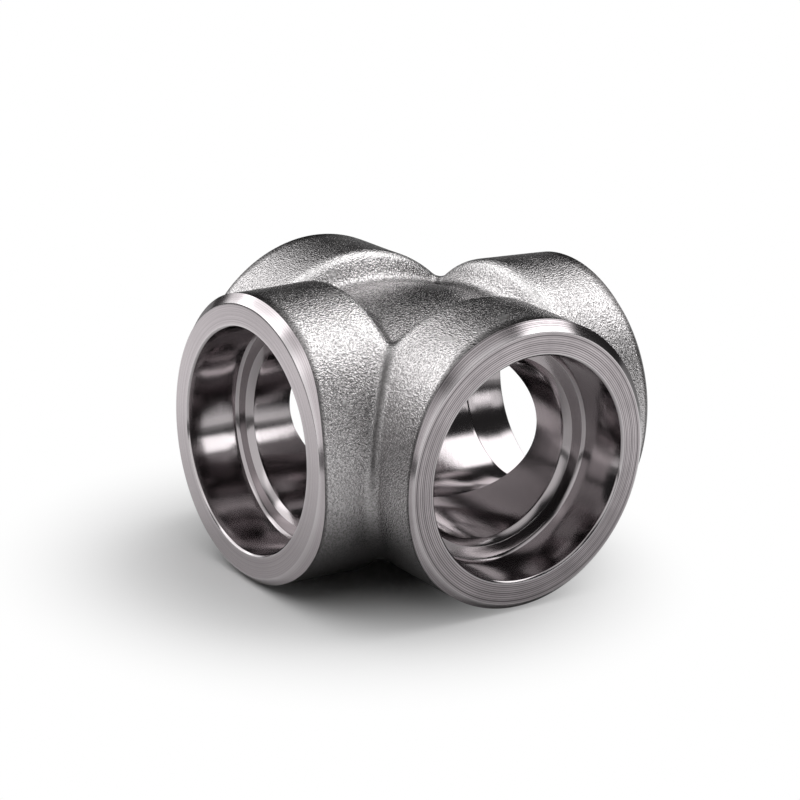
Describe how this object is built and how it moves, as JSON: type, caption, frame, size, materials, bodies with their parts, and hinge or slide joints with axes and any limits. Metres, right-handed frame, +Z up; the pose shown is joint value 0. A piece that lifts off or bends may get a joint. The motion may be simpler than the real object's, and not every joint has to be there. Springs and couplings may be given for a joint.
{
  "type": "forged pipe cross",
  "caption": "Forged steel pipe cross: tapered bosses about a shallow domed hub, bored through both runs, with a welding socket, shoulder and chamfered face at each end.",
  "frame": {"origin": "where the two bore axes cross", "axes": "X and Y along the two runs, Z up, square to both runs"},
  "size_m": [0.108, 0.108, 0.079],
  "materials": {
    "forged_steel": "pebbled forged skin, with bright turned faces, sockets and bores"
  },
  "bodies": {
    "root": {"cross_body": "forged_steel"}
  },
  "joints": []
}
